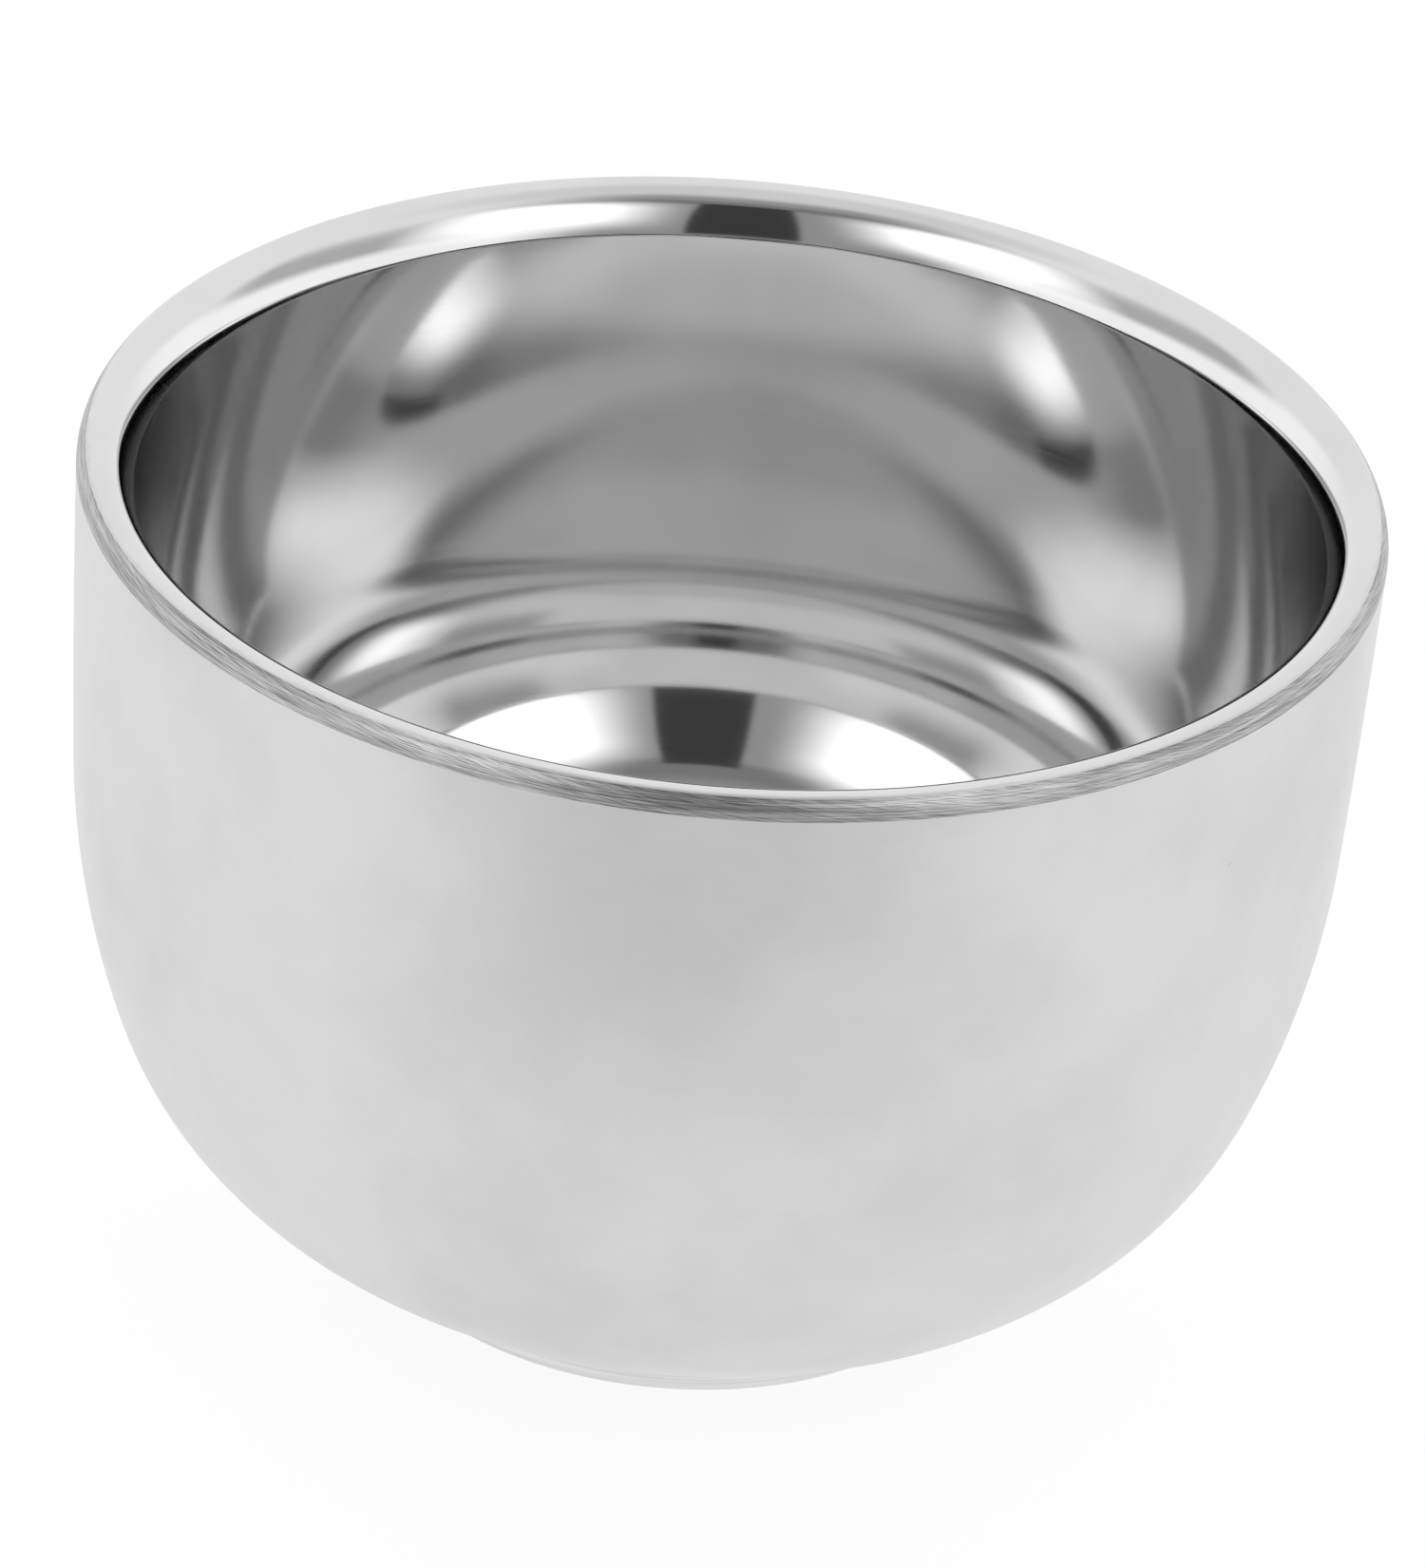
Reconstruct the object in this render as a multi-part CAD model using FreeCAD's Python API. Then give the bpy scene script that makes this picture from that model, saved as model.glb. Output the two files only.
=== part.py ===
"""Shaving bowl: a double-wall stainless steel bowl with a rolled lip and a low pressed foot ring.

Frame: millimetres, +Z up, origin at the centre of the foot's resting face. Every piece is turned
about Z. Two drawn cups are joined round the lip by a weld that is ground flush, with air between them.
"""
import FreeCAD
import Part
import os
from math import cos, radians, sin, sqrt

# --- driving sizes -------------------------------------------------------------------------------
RIM_RADIUS = 49.0            # outer cup at its top edge, the widest point
HEIGHT = 66.0                # resting face to the crown of the lip
SHEET = 0.5                  # both drawn cups

# Outer cup, from its top edge down: leans of the wall from the vertical at the ends of its bends
OUTER_LEANS = (2.28, 3.66, 20.73)
OUTER_BELLY_RADIUS = 64.55
OUTER_HEEL_RADIUS = 27.9
STAND_HEIGHT = 3.1           # resting face to the flat underside of the outer cup

# Inner cup, given the same way on the face that shows: straighter, then rounder than the outer cup
INNER_LEANS = (0.0, 1.0, 36.0)
INNER_BELLY_RADIUS = 25.5
INNER_HEEL_RADIUS = 20.0
FLOOR_GAP = 9.2              # air between the two floors

# Rolled lip: bend radii on the hidden face of the sheet, and how far each bend turns
CROWN_BEND_RADIUS = 2.36
CROWN_TURN = 49.0
BROW_BEND_RADIUS = 5.5       # gentle face between the crown and the crease
BROW_TURN = 23.0
CREASE_RADIUS = 0.9          # on the face that shows, where the lip meets the inner wall
SHOULDER_BEND_RADIUS = 0.11
SHOULDER_TURN = 45.0
RIM_WELD_RADIUS = 2.11       # ground face of the weld
RIM_WELD_PASSES = 6          # bands that the grinding leaves round the weld's face

# Foot ring: a channel, open upward, under the outer cup
FOOT_RADIUS = 22.45
FOOT_WIDTH = 3.4
FOOT_SHEET = 0.5
FOOT_BEND_RADIUS = 0.1       # inside the channel
FOOT_WELD_LEG = 0.4          # of its straight face, down the foot ring and out along the cup


# --- points and edges in the XZ plane, r outward and z up ----------------------------------------
def point(r, z):
    return FreeCAD.Vector(r, 0, z)


def off(centre, radius, turn):
    """The point at a radius whose direction is turned from straight up toward the axis."""
    return point(centre.x - radius * sin(radians(turn)), centre.z + radius * cos(radians(turn)))


def arc(centre, radius, start, end):
    middle = off(centre, radius, (start + end) / 2)
    return Part.Arc(off(centre, radius, start), middle, off(centre, radius, end)).toShape()


def line(start, end):
    return Part.LineSegment(start, end).toShape()


def wall_turn(lean):
    """Turn of the outward normal of a wall that leans that far from the vertical."""
    return -90.0 - lean


def turned(edges, name):
    """Turns a closed outline about Z into one solid."""
    wire = Part.Wire(Part.__sortEdges__(edges))
    solid = Part.Face(wire).revolve(point(0, 0), FreeCAD.Vector(0, 0, 1), 360)
    return one_solid(solid, name)


def one_solid(shape, name):
    if not shape.isValid() or len(shape.Solids) != 1:
        raise ValueError(name + " is not one valid solid")
    return shape.Solids[0]


class CupFace:
    """One face of a drawn cup: side, belly and heel bends, tangent to each other, and a flat floor."""

    def __init__(self, top, floor_z, leans, belly_radius, heel_radius):
        top_turn, side_turn, low_turn = [wall_turn(lean) for lean in leans]
        slopes = [sin(radians(lean)) for lean in leans]
        belly_drop = belly_radius * (slopes[2] - slopes[1])
        heel_drop = heel_radius * (1 - slopes[2])
        side_radius = (top.z - floor_z - belly_drop - heel_drop) / (slopes[1] - slopes[0])
        self.floor_z = floor_z
        self.bends = []
        start = top
        for radius, first, last in ((side_radius, top_turn, side_turn),
                                    (belly_radius, side_turn, low_turn),
                                    (heel_radius, low_turn, wall_turn(90))):
            centre = off(start, -radius, first)
            self.bends.append((centre, radius, first, last))
            start = off(centre, radius, last)

    def edges(self, offset=0.0):
        """From the top edge to the axis, moved away from the axis by the offset."""
        walls = [arc(centre, radius + offset, first, last) for centre, radius, first, last in self.bends]
        heel_centre = self.bends[2][0]
        floor_z = self.floor_z - offset
        return walls + [line(point(heel_centre.x, floor_z), point(0, floor_z))]

    def top(self, offset=0.0):
        centre, radius, first, last = self.bends[0]
        return off(centre, radius + offset, first)

    def height_at(self, r):
        """Height of the heel or of the floor, at a radius under the cup."""
        centre, radius = self.bends[2][:2]
        return centre.z - sqrt(radius ** 2 - max(r - centre.x, 0) ** 2)


# --- lip: crown, shoulder, brow and crease, in from the top edge of the outer cup ----------------
top_turn = wall_turn(OUTER_LEANS[0])
shoulder_radius = SHOULDER_BEND_RADIUS + SHEET
crown_radius = CROWN_BEND_RADIUS + SHEET
brow_radius = BROW_BEND_RADIUS + SHEET

lip_crown = point(0, HEIGHT)
shoulder_centre = off(lip_crown, -shoulder_radius, 0)
shoulder_end = off(shoulder_centre, shoulder_radius, -SHOULDER_TURN)
weld_centre = off(shoulder_end, -RIM_WELD_RADIUS, -SHOULDER_TURN)
weld_end = off(weld_centre, RIM_WELD_RADIUS, top_turn)

# The lip is drawn with its crown on the axis, then moved out so that the weld ends at the rim.
lip_shift = point(RIM_RADIUS - weld_end.x, 0)
lip_crown, shoulder_centre, shoulder_end, weld_centre, weld_end = [
    place + lip_shift for place in (lip_crown, shoulder_centre, shoulder_end, weld_centre, weld_end)]

brow_end_turn = CROWN_TURN + BROW_TURN
crease_end_turn = 90.0 - INNER_LEANS[0]
crown_centre = off(lip_crown, -crown_radius, 0)
brow_centre = off(crown_centre, crown_radius - brow_radius, CROWN_TURN)
crease_centre = off(brow_centre, brow_radius - CREASE_RADIUS, brow_end_turn)

outer_face = CupFace(weld_end, STAND_HEIGHT, OUTER_LEANS, OUTER_BELLY_RADIUS, OUTER_HEEL_RADIUS)
inner_face = CupFace(off(crease_centre, CREASE_RADIUS, crease_end_turn),
                     STAND_HEIGHT + SHEET + FLOOR_GAP + SHEET, INNER_LEANS,
                     INNER_BELLY_RADIUS, INNER_HEEL_RADIUS)


def lip_edges(depth):
    """From the weld over the crown and down to the inner wall, that deep under the face that shows."""
    return [arc(shoulder_centre, shoulder_radius - depth, -SHOULDER_TURN, 0),
            arc(crown_centre, crown_radius - depth, 0, CROWN_TURN),
            arc(brow_centre, brow_radius - depth, CROWN_TURN, brow_end_turn),
            arc(crease_centre, CREASE_RADIUS - depth, brow_end_turn, crease_end_turn)]


# --- pieces ----------------------------------------------------------------------------------------
def make_inner_bowl():
    floor_z = inner_face.floor_z
    shown = lip_edges(0) + inner_face.edges()
    hidden = lip_edges(SHEET) + inner_face.edges(SHEET)
    lip_end = line(shoulder_end, off(shoulder_centre, SHOULDER_BEND_RADIUS, -SHOULDER_TURN))
    on_axis = line(point(0, floor_z), point(0, floor_z - SHEET))
    return turned(shown + hidden + [lip_end, on_axis], "inner_bowl")


def make_outer_bowl():
    top_edge = line(outer_face.top(), outer_face.top(-SHEET))
    on_axis = line(point(0, STAND_HEIGHT), point(0, STAND_HEIGHT + SHEET))
    return turned(outer_face.edges() + outer_face.edges(-SHEET) + [top_edge, on_axis], "outer_bowl")


def make_rim_weld():
    """Fills the corner between the lip's edge and the outer cup's top edge, ground to a smooth face."""
    root = off(shoulder_centre, SHOULDER_BEND_RADIUS, -SHOULDER_TURN)
    cup_inside = outer_face.top(-SHEET)
    band = (top_turn + SHOULDER_TURN) / RIM_WELD_PASSES
    turns = [-SHOULDER_TURN + band * index for index in range(RIM_WELD_PASSES + 1)]
    ground_face = [arc(weld_centre, RIM_WELD_RADIUS, first, last) for first, last in zip(turns, turns[1:])]
    return turned(ground_face + [line(weld_end, cup_inside), line(cup_inside, root), line(root, shoulder_end)],
                  "rim_weld")


def make_bowl_block():
    """Everything inside the outer cup's outer face, to cut what sits under it."""
    rim_z = weld_end.z
    return turned(outer_face.edges() + [line(weld_end, point(0, rim_z)),
                                        line(point(0, rim_z), point(0, STAND_HEIGHT))], "bowl_block")


def make_foot_ring(bowl_block):
    bend = FOOT_BEND_RADIUS + FOOT_SHEET
    inner = FOOT_RADIUS - FOOT_WIDTH
    top_z = outer_face.height_at(FOOT_RADIUS) + FOOT_SHEET
    outer_bend = point(FOOT_RADIUS - bend, bend)
    inner_bend = point(inner + bend, bend)

    def channel(depth):
        """Down the outer side, across and up the inner side, that deep inside the metal."""
        radius = bend - depth
        low_outer, low_inner = wall_turn(90), -wall_turn(90)
        return [line(point(FOOT_RADIUS - depth, top_z), off(outer_bend, radius, -90)),
                arc(outer_bend, radius, -90, low_outer),
                line(off(outer_bend, radius, low_outer), off(inner_bend, radius, low_inner)),
                arc(inner_bend, radius, low_inner, 90),
                line(off(inner_bend, radius, 90), point(inner + depth, top_z))]

    rims = [line(point(FOOT_RADIUS, top_z), point(FOOT_RADIUS - FOOT_SHEET, top_z)),
            line(point(inner, top_z), point(inner + FOOT_SHEET, top_z))]
    ring = turned(channel(0) + channel(FOOT_SHEET) + rims, "foot_ring")
    return one_solid(ring.cut(bowl_block), "foot_ring")


def make_foot_weld(bowl_block):
    """A fillet bead in the corner between the foot ring's outer side and the outer cup."""
    toe_radius = FOOT_RADIUS + FOOT_WELD_LEG
    foot_toe = point(FOOT_RADIUS, outer_face.height_at(FOOT_RADIUS) - FOOT_WELD_LEG)
    cup_toe = point(toe_radius, outer_face.height_at(toe_radius))
    above = cup_toe.z + FOOT_WELD_LEG
    bead = turned([line(foot_toe, cup_toe),
                   line(cup_toe, point(toe_radius, above)),
                   line(point(toe_radius, above), point(FOOT_RADIUS, above)),
                   line(point(FOOT_RADIUS, above), foot_toe)], "foot_weld")
    return one_solid(bead.cut(bowl_block), "foot_weld")


block = make_bowl_block()
PARTS = {
    "inner_bowl": make_inner_bowl(),
    "outer_bowl": make_outer_bowl(),
    "rim_weld": make_rim_weld(),
    "foot_ring": make_foot_ring(block),
    "foot_weld": make_foot_weld(block),
}

os.makedirs("parts", exist_ok=True)
for name, solid in PARTS.items():
    solid.exportStep("parts/" + name + ".step")
    box = solid.optimalBoundingBox()
    print("%-11s volume %8.1f  r %6.2f  z %6.2f to %6.2f" % (name, solid.Volume, box.XMax, box.ZMin, box.ZMax))
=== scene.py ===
"""Shaving bowl of double-wall steel: mirror-bright inside, satin outside, its lip welded and ground.

Metres, in the frame of the drawing. Outlines are worked out in millimetres and turned about Z.
"""
import bpy
import bmesh
from math import cos, pi, radians, sin, sqrt
from mathutils import Matrix, Vector


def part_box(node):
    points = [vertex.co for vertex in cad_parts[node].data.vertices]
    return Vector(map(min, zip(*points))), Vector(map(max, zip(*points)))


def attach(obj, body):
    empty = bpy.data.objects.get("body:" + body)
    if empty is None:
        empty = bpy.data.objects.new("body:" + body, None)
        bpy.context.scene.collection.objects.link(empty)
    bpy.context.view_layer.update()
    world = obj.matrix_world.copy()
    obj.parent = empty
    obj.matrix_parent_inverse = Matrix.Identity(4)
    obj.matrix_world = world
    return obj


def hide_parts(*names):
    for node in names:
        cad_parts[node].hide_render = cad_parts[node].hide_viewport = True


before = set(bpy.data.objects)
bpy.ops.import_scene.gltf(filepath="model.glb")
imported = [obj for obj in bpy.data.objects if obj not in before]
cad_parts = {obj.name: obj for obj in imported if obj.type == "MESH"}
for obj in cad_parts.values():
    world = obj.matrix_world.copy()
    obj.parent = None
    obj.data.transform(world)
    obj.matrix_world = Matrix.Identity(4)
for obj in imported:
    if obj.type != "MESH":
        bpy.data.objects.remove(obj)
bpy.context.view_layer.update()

# --- sizes, in millimetres, as the drawing gives them --------------------------------------------
MM = 0.001
RIM_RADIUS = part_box("outer_bowl")[1][0] / MM
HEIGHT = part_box("inner_bowl")[1][2] / MM
STAND_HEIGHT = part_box("outer_bowl")[0][2] / MM
SHEET = 0.5
FLOOR_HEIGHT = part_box("inner_bowl")[0][2] / MM + SHEET

OUTER_LEANS = (2.28, 3.66, 20.73)      # degrees from the vertical at the ends of the wall's bends
OUTER_BELLY_RADIUS = 64.55
OUTER_HEEL_RADIUS = 27.9
INNER_LEANS = (0.0, 1.0, 36.0)
INNER_BELLY_RADIUS = 25.5
INNER_HEEL_RADIUS = 20.0

CROWN_RADIUS = 2.86                    # lip bends, on the face that shows
CROWN_TURN = 49.0
BROW_RADIUS = 6.0
BROW_TURN = 23.0
CREASE_RADIUS = 0.9
SHOULDER_RADIUS = 0.61
SHOULDER_TURN = 45.0
RIM_WELD_RADIUS = 2.11

FOOT_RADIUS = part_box("foot_ring")[1][0] / MM
FOOT_WIDTH = 3.4
FOOT_BEND_RADIUS = 0.6
FOOT_WELD_LEG = 0.4
RIPPLES = 96                           # round the foot weld

FACETS = 384                           # round the axis
WALL_STEPS = (24, 24, 40)              # along a cup's side, belly and heel
FLOOR_STEPS = 10
WELD_STEPS = 8                         # across the foot weld's face
RIPPLE_HEIGHT = 0.035
SHARP_ANGLE = 35.0


# --- outlines: lists of (r, z), with turns measured from straight up toward the axis ---------------
def off(centre, radius, turn):
    return centre[0] - radius * sin(radians(turn)), centre[1] + radius * cos(radians(turn))


def bend(centre, radius, start, end, steps):
    return [off(centre, radius, start + (end - start) * i / steps) for i in range(steps + 1)]


def straight(start, end, steps):
    return [(start[0] + (end[0] - start[0]) * i / steps, start[1] + (end[1] - start[1]) * i / steps)
            for i in range(steps + 1)]


def joined(*runs):
    """One outline from runs that meet end to end."""
    outline = [runs[0][0]]
    for run in runs:
        outline += [place for place in run if max(abs(place[0] - outline[-1][0]),
                                                  abs(place[1] - outline[-1][1])) > 1e-4]
    return outline


class CupFace:
    """One face of a drawn cup: side, belly and heel bends, tangent to each other, and a flat floor."""

    def __init__(self, top, floor_z, leans, belly_radius, heel_radius):
        slopes = [sin(radians(lean)) for lean in leans]
        bends_drop = belly_radius * (slopes[2] - slopes[1]) + heel_radius * (1 - slopes[2])
        side_radius = (top[1] - floor_z - bends_drop) / (slopes[1] - slopes[0])
        turns = [-90 - lean for lean in leans] + [-180]
        self.floor_z = floor_z
        self.bends = []
        start = top
        for radius, first, last in zip((side_radius, belly_radius, heel_radius), turns, turns[1:]):
            centre = off(start, -radius, first)
            self.bends.append((centre, radius, first, last))
            start = off(centre, radius, last)

    def line(self, offset=0.0):
        runs = [bend(centre, radius + offset, first, last, count)
                for (centre, radius, first, last), count in zip(self.bends, WALL_STEPS)]
        floor_z = self.floor_z - offset
        return joined(*runs, straight((self.bends[2][0][0], floor_z), (0.0, floor_z), FLOOR_STEPS))

    def top(self, offset=0.0):
        centre, radius, first, _ = self.bends[0]
        return off(centre, radius + offset, first)

    def height_at(self, r):
        centre, radius = self.bends[2][:2]
        return centre[1] - sqrt(radius ** 2 - max(r - centre[0], 0) ** 2)


# --- lip, in from the top edge of the outer cup -----------------------------------------------------
rim_turn = -90 - OUTER_LEANS[0]
crown = (0.0, HEIGHT)
shoulder_centre = off(crown, -SHOULDER_RADIUS, 0)
shoulder_end = off(shoulder_centre, SHOULDER_RADIUS, -SHOULDER_TURN)
weld_centre = off(shoulder_end, -RIM_WELD_RADIUS, -SHOULDER_TURN)
weld_end = off(weld_centre, RIM_WELD_RADIUS, rim_turn)
crown, shoulder_centre, weld_centre, weld_end = [
    (r + RIM_RADIUS - weld_end[0], z) for r, z in (crown, shoulder_centre, weld_centre, weld_end)]
crown_centre = off(crown, -CROWN_RADIUS, 0)
brow_centre = off(crown_centre, CROWN_RADIUS - BROW_RADIUS, CROWN_TURN)
brow_end_turn = CROWN_TURN + BROW_TURN
crease_centre = off(brow_centre, BROW_RADIUS - CREASE_RADIUS, brow_end_turn)
crease_end_turn = 90 - INNER_LEANS[0]

outer_face = CupFace(weld_end, STAND_HEIGHT, OUTER_LEANS, OUTER_BELLY_RADIUS, OUTER_HEEL_RADIUS)
inner_face = CupFace(off(crease_centre, CREASE_RADIUS, crease_end_turn), FLOOR_HEIGHT, INNER_LEANS,
                     INNER_BELLY_RADIUS, INNER_HEEL_RADIUS)


def lip_line(depth):
    """From the weld over the crown and down to the inner wall, that deep under the face that shows."""
    return joined(bend(shoulder_centre, SHOULDER_RADIUS - depth, -SHOULDER_TURN, 0, 10),
                  bend(crown_centre, CROWN_RADIUS - depth, 0, CROWN_TURN, 16),
                  bend(brow_centre, BROW_RADIUS - depth, CROWN_TURN, brow_end_turn, 16),
                  bend(crease_centre, CREASE_RADIUS - depth, brow_end_turn, crease_end_turn, 12))


# --- turned pieces -----------------------------------------------------------------------------------
def turned(name, outline, node, ripple=None):
    """A piece from a closed outline turned about Z. A ripple moves a point in or out round the axis."""
    bm = bmesh.new()
    rings = []
    for index, (r, z) in enumerate(outline):
        ring = []
        for facet in range(1 if r < 1e-6 else FACETS):
            angle = 2 * pi * facet / FACETS
            dr, dz = ripple(index, angle) if ripple else (0.0, 0.0)
            ring.append(bm.verts.new(((r + dr) * MM * cos(angle), (r + dr) * MM * sin(angle), (z + dz) * MM)))
        rings.append(ring)
    for low, high in zip(rings, rings[1:] + rings[:1]):
        if len(low) == len(high) == 1:
            continue
        for facet in range(FACETS):
            after = (facet + 1) % FACETS
            corners = [low[facet % len(low)], low[after % len(low)], high[after % len(high)],
                       high[facet % len(high)]]
            bm.faces.new(list(dict.fromkeys(corners)))
    bmesh.ops.recalc_face_normals(bm, faces=bm.faces)
    mesh = bpy.data.meshes.new(name)
    bm.to_mesh(mesh)
    bm.free()
    mesh.shade_smooth()
    mesh.set_sharp_from_angle(angle=radians(SHARP_ANGLE))
    piece = bpy.data.objects.new(name, mesh)
    bpy.context.scene.collection.objects.link(piece)
    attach(piece, "root")
    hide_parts(node)
    return piece


def make_inner_bowl():
    shown = joined(lip_line(0), inner_face.line())
    hidden = joined(lip_line(SHEET), inner_face.line(SHEET))
    return turned("inner_bowl_shell", shown + hidden[::-1], "inner_bowl")


def make_outer_bowl():
    return turned("outer_bowl_shell", outer_face.line() + outer_face.line(-SHEET)[::-1],
                  "outer_bowl")


def make_rim_weld():
    root = off(shoulder_centre, SHOULDER_RADIUS - SHEET, -SHOULDER_TURN)
    ground = bend(weld_centre, RIM_WELD_RADIUS, -SHOULDER_TURN, rim_turn, 16)
    return turned("rim_weld_band", ground + [outer_face.top(-SHEET), root], "rim_weld")


def make_foot_ring():
    """An open channel, its legs cut to the curve of the cup above."""
    inner = FOOT_RADIUS - FOOT_WIDTH
    outer_bend = (FOOT_RADIUS - FOOT_BEND_RADIUS, FOOT_BEND_RADIUS)
    inner_bend = (inner + FOOT_BEND_RADIUS, FOOT_BEND_RADIUS)

    def channel(depth):
        outer_leg = FOOT_RADIUS - depth
        inner_leg = inner + depth
        outer_top = (outer_leg, outer_face.height_at(outer_leg))
        inner_top = (inner_leg, outer_face.height_at(inner_leg))
        return joined(straight(outer_top, (outer_leg, FOOT_BEND_RADIUS), 4),
                      bend(outer_bend, FOOT_BEND_RADIUS - depth, -90, -180, 8),
                      bend(inner_bend, FOOT_BEND_RADIUS - depth, 180, 90, 8),
                      straight((inner_leg, FOOT_BEND_RADIUS), inner_top, 4))

    return turned("foot_ring_channel", channel(0) + channel(SHEET)[::-1], "foot_ring")


def make_foot_weld():
    """A small fillet bead whose face carries the even ripples of a turned weld."""
    cup_radius = FOOT_RADIUS + FOOT_WELD_LEG
    foot_toe = (FOOT_RADIUS, outer_face.height_at(FOOT_RADIUS) - FOOT_WELD_LEG)
    cup_toe = (cup_radius, outer_face.height_at(cup_radius))
    face = straight(foot_toe, cup_toe, WELD_STEPS)
    back = [(r, outer_face.height_at(r)) for r, _ in straight(cup_toe, (FOOT_RADIUS, 0), 4)[1:]]

    def ripple(index, angle):
        if index > WELD_STEPS:
            return 0.0, 0.0
        height = RIPPLE_HEIGHT * sin(pi * index / WELD_STEPS) * (1 + cos(RIPPLES * angle))
        return -height / 2, height

    return turned("foot_weld_bead", face + back, "foot_weld", ripple)


inner_bowl = make_inner_bowl()
outer_bowl = make_outer_bowl()
rim_weld = make_rim_weld()
foot_ring = make_foot_ring()
foot_weld = make_foot_weld()


# --- shader graphs -------------------------------------------------------------------------------------
class Wire:
    """A socket that Python's arithmetic works on, by adding Math nodes to its graph."""

    def __init__(self, graph, socket):
        self.graph = graph
        self.socket = socket

    def math(self, operation, *others):
        return self.graph.node("ShaderNodeMath", {"operation": operation}, (self,) + others)

    def __add__(self, other):
        return self.math("ADD", other)

    def __mul__(self, other):
        return self.math("MULTIPLY", other)

    def __sub__(self, other):
        return self.math("SUBTRACT", other)

    def __rsub__(self, other):
        return self.graph.node("ShaderNodeMath", {"operation": "SUBTRACT"}, (other, self))

    __radd__ = __add__
    __rmul__ = __mul__

    def ramp(self, low, high, start=0.0, end=1.0):
        """Eases from one value to another as this goes from low to high, and is held past them."""
        return self.graph.node("ShaderNodeMapRange", {"interpolation_type": "SMOOTHSTEP"},
                               {"Value": self, "From Min": low, "From Max": high,
                                "To Min": start, "To Max": end})


class Graph:
    """The nodes of one material or of the surroundings."""

    def __init__(self, owner):
        owner.use_nodes = True
        self.tree = owner.node_tree

    def node(self, kind, settings=None, inputs=(), output=0):
        """Adds a node: settings first, then the values or links of its sockets by place or name."""
        node = self.tree.nodes.new(kind)
        for key, value in (settings or {}).items():
            setattr(node, key, value)
        self.fill(node, inputs)
        return Wire(self, node.outputs[output])

    def fill(self, node, inputs):
        for key, value in inputs.items() if isinstance(inputs, dict) else enumerate(inputs):
            if isinstance(value, Wire):
                self.tree.links.new(value.socket, node.inputs[key])
            else:
                node.inputs[key].default_value = value

    def mix(self, factor, low, high):
        """Blends two greys or colours."""
        inputs = {"Factor": factor, 6: grey(low), 7: grey(high)}
        return self.node("ShaderNodeMix", {"data_type": "RGBA"}, inputs, output=2)

    def noise(self, vector, scale, detail=2.0, rough=0.5):
        return self.node("ShaderNodeTexNoise", {}, {"Vector": vector, "Scale": scale, "Detail": detail,
                                                    "Roughness": rough})


def grey(value):
    return (value, value, value, 1.0) if isinstance(value, (int, float)) else value


class Steel(Graph):
    """A bare steel finish. Its places are in millimetres, with round and along for lines left by turning."""

    def __init__(self, name, piece):
        material = bpy.data.materials.new(name)
        super().__init__(material)
        piece.data.materials.append(material)
        self.shader = self.tree.nodes["Principled BSDF"]
        self.shader.inputs["Metallic"].default_value = 1.0
        metres = self.node("ShaderNodeTexCoord", output="Object")
        self.place = self.node("ShaderNodeVectorMath", {"operation": "SCALE"}, {0: metres, "Scale": 1 / MM})
        self.x, self.y, self.z = [self.node("ShaderNodeSeparateXYZ", {}, (self.place,), output=axis)
                                  for axis in "XYZ"]
        self.r = (self.x * self.x + self.y * self.y).math("SQRT")

    def spun(self, across, along):
        """Noise drawn out round the axis: cycles per mm across the lines, and along them."""
        vector = self.node("ShaderNodeCombineXYZ", {}, (self.x * along, self.y * along,
                                                        (self.z - self.r) * across))
        return self.noise(vector, 1.0, 3.0, 0.6)

    def finish(self, color, roughness, height=None, depth=0.0):
        """Links the finish, with a height in 0 to 1 that stands for so many mm."""
        inputs = {"Base Color": color, "Roughness": roughness}
        if height:
            inputs["Normal"] = self.node("ShaderNodeBump", {}, {"Height": height, "Distance": depth * MM})
        self.fill(self.shader, inputs)


# --- finishes ---------------------------------------------------------------------------------------------
def mirror_steel(piece):
    """Buffed bright, with faint turning lines and a soft haze that rubbing leaves. Ground at the weld."""
    steel = Steel("mirror_steel", piece)
    lines = steel.spun(9.0, 0.02)
    haze = steel.noise(steel.place, 0.06, 3.0)
    edge = steel.z + steel.noise(steel.place, 0.35, 3.0) * 0.25
    ground = edge.ramp(HEIGHT + 0.09, HEIGHT + 0.03) * steel.r.ramp(47.9, 48.0)
    color = steel.mix(ground, steel.mix(haze.ramp(0.35, 0.65), 0.64, 0.67), 0.6)
    roughness = steel.node("ShaderNodeMix", {}, {"Factor": ground, "A": 0.035 + lines * 0.05 + haze * 0.02,
                                                 "B": 0.3})
    steel.finish(color, roughness, lines, 0.00025)


def satin_steel(piece):
    """Evenly blasted and lightly spun: clouded, with fine turning lines and a few specks."""
    steel = Steel("satin_steel", piece)
    lines = steel.spun(5.0, 0.03)
    clouds = steel.noise(steel.place, 0.045, 4.0, 0.6)
    grain = steel.noise(steel.place, 2.2, 3.0, 0.7)
    cells = steel.node("ShaderNodeTexVoronoi", {}, {"Vector": steel.place, "Scale": 0.09})
    specks = cells.ramp(0.014, 0.006)
    tone = clouds.ramp(0.3, 0.7) * 0.6 + lines * 0.25 + grain * 0.15
    color = steel.mix(specks * 0.4, steel.mix(tone, 0.61, 0.73), 0.2)
    roughness = 0.36 + clouds * 0.1 + lines * 0.06 + grain * 0.04
    steel.finish(color, roughness, lines * 0.6 + grain * 0.4, 0.0012)


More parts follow.
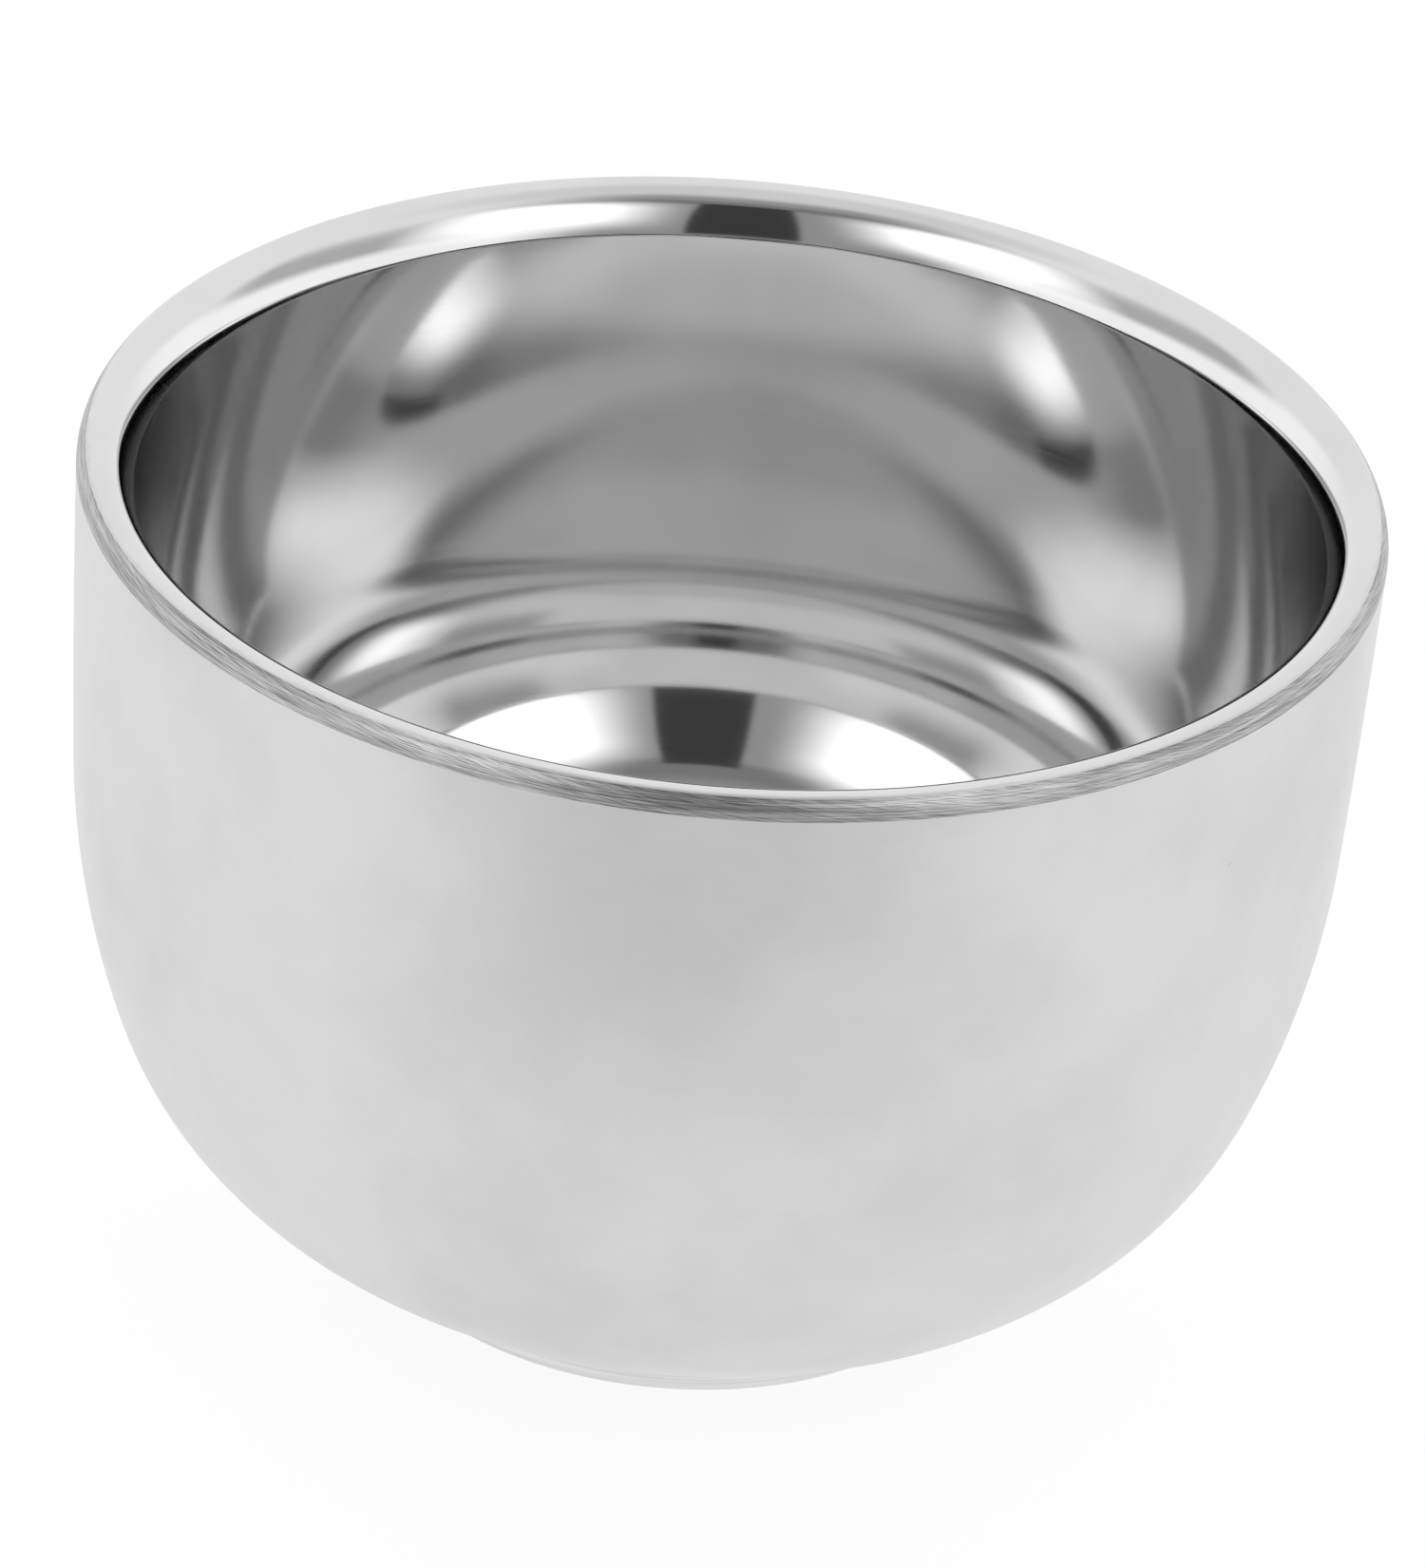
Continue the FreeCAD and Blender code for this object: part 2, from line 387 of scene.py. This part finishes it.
def ground_steel(piece):
    """Filed and ground by hand: long scratches round the rim, crossed by short slanting ones."""
    steel = Steel("ground_steel", piece)
    lines = steel.spun(14.0, 0.12)
    angle = steel.node("ShaderNodeMath", {"operation": "ARCTAN2"}, (steel.y, steel.x))
    slant = steel.node("ShaderNodeCombineXYZ", {}, (angle * 60.0 + steel.z * 9.0, steel.z * 1.2, 0.0))
    cuts = steel.noise(slant, 1.6, 3.0, 0.65)
    patches = steel.noise(steel.place, 0.12, 2.0)
    wear = lines * 0.55 + cuts * 0.45
    color = steel.mix(wear.ramp(0.38, 0.62) * (0.55 + patches * 0.45), 0.17, 0.7)
    steel.finish(color, 0.2 + wear * 0.3, wear, 0.012)


def foot_steel(piece):
    """Satin, rubbed brighter where it stands."""
    steel = Steel("foot_steel", piece)
    lines = steel.spun(7.0, 0.05)
    rubbed = steel.z.ramp(0.35, 0.0)
    color = steel.mix(lines.ramp(0.3, 0.7), 0.66, 0.78)
    steel.finish(color, 0.32 - rubbed * 0.12 + lines * 0.08, lines, 0.002)


def weld_steel(piece):
    """As laid, with a little heat haze between its ripples."""
    steel = Steel("weld_steel", piece)
    grain = steel.noise(steel.place, 3.0, 3.0)
    steel.finish(steel.mix(grain.ramp(0.3, 0.7), 0.42, 0.58), 0.3 + grain * 0.15, grain, 0.004)


mirror_steel(inner_bowl)
satin_steel(outer_bowl)
ground_steel(rim_weld)
foot_steel(foot_ring)
weld_steel(foot_weld)


# --- studio: a white tent, with two softboxes in front and a dark gap between them. Brightnesses: ---------
TENT = 1.08
SIDE_SCREEN = 0.6
OVERHEAD = 0.88
FRONT = 0.4
SKIRT = 1.3                            # low on both sides
LINTEL = 0.26                          # just above the softboxes
SOFTBOX = 2.3
GAP = 0.06
TABLE_GREY = 0.2
TABLE_GLOW = 0.8
TABLE_PAINTED_SHADE = 0.5                      # of the glow, in a patch of painted shade on the table in front of the bowl
TABLE_HALF_SIDE = 4.0


def make_studio():
    """Light by direction, in degrees: side is 0 toward the camera and positive to its right."""
    world = bpy.data.worlds.new("studio")
    bpy.context.scene.world = world
    graph = Graph(world)
    ray = graph.node("ShaderNodeTexCoord", output="Generated")
    x, y, z = [graph.node("ShaderNodeSeparateXYZ", {}, (ray,), output=axis) for axis in "XYZ"]
    rise = z.math("ARCSINE").math("DEGREES")
    side = graph.node("ShaderNodeMath", {"operation": "ARCTAN2"}, (x, 0.0 - y)).math("DEGREES")
    across = side.math("ABSOLUTE")
    screen = across.ramp(64, 78) * across.ramp(120, 104) * rise.ramp(50, 30)
    overhead = rise.ramp(56, 74)
    front = across.ramp(80, 25) * rise.ramp(85, 66)
    skirt = across.ramp(28, 52) * across.ramp(150, 125) * rise.ramp(24, 14)
    lintel = across.ramp(40, 20) * rise.ramp(64, 57) * rise.ramp(50, 53)
    softbox = across.ramp(12, 40) * across.ramp(76, 44) * rise.ramp(7, 33) * rise.ramp(57, 42)
    gap = side.ramp(-9, -7.5) * side.ramp(14, 12.5) * rise.ramp(2, 12) * rise.ramp(54, 53)
    light = graph.mix(screen, TENT, SIDE_SCREEN)
    light = graph.mix(overhead, light, OVERHEAD)
    light = graph.mix(front, light, FRONT)
    light = graph.mix(skirt, light, SKIRT)
    light = graph.mix(lintel, light, LINTEL)
    light = graph.mix(softbox, light, SOFTBOX)
    light = graph.mix(gap, light, GAP)
    graph.fill(graph.tree.nodes["Background"], {"Color": light})


def make_table():
    bm = bmesh.new()
    bmesh.ops.create_grid(bm, x_segments=1, y_segments=1, size=TABLE_HALF_SIDE)
    mesh = bpy.data.meshes.new("table")
    bm.to_mesh(mesh)
    bm.free()
    table = bpy.data.objects.new("table", mesh)
    bpy.context.scene.collection.objects.link(table)
    material = bpy.data.materials.new("white_table")
    mesh.materials.append(material)
    graph = Graph(material)
    place = graph.node("ShaderNodeTexCoord", output="Object")
    x, y, _ = [graph.node("ShaderNodeSeparateXYZ", {}, (place,), output=axis) for axis in "XYZ"]
    # painted shade: the table's glow is lowered in a patch in front of the bowl
    shade = y.ramp(-0.08, -0.17) * x.math("ABSOLUTE").ramp(0.2, 0.03)
    graph.fill(graph.tree.nodes["Principled BSDF"], {
        "Base Color": grey(TABLE_GREY), "Roughness": 0.8,
        "Emission Color": graph.mix(shade, 1.0, TABLE_PAINTED_SHADE), "Emission Strength": TABLE_GLOW})


make_studio()
make_table()

# --- camera: a long lens, high in front, tilted a little to one side --------------------------------------
CAMERA_PLACE = Vector((0.0, -1.32154, 0.70960 + HEIGHT * MM))
CAMERA_FALL = 29.107                   # degrees below the level
CAMERA_TURN = 0.0135
CAMERA_ROLL = 4.930
CAMERA_LENS = 462.7
SENSOR = 36.0


def make_camera():
    fall, turn, roll = radians(CAMERA_FALL), radians(CAMERA_TURN), radians(CAMERA_ROLL)
    look = Vector((sin(turn) * cos(fall), cos(turn) * cos(fall), -sin(fall)))
    level = Vector((cos(turn), -sin(turn), 0))
    upright = level.cross(look)
    right = level * cos(roll) + upright * sin(roll)
    up = upright * cos(roll) - level * sin(roll)
    data = bpy.data.cameras.new("camera")
    data.sensor_width = SENSOR
    data.lens = CAMERA_LENS
    camera = bpy.data.objects.new("camera", data)
    turned_to = Matrix((right, up, -look)).transposed().to_4x4()
    camera.matrix_world = Matrix.Translation(CAMERA_PLACE) @ turned_to
    bpy.context.scene.collection.objects.link(camera)
    bpy.context.scene.camera = camera


make_camera()

scene = bpy.context.scene
scene.view_settings.view_transform = "Standard"
scene.cycles.glossy_bounces = 40
scene.cycles.max_bounces = 44
scene.cycles.blur_glossy = 0.0
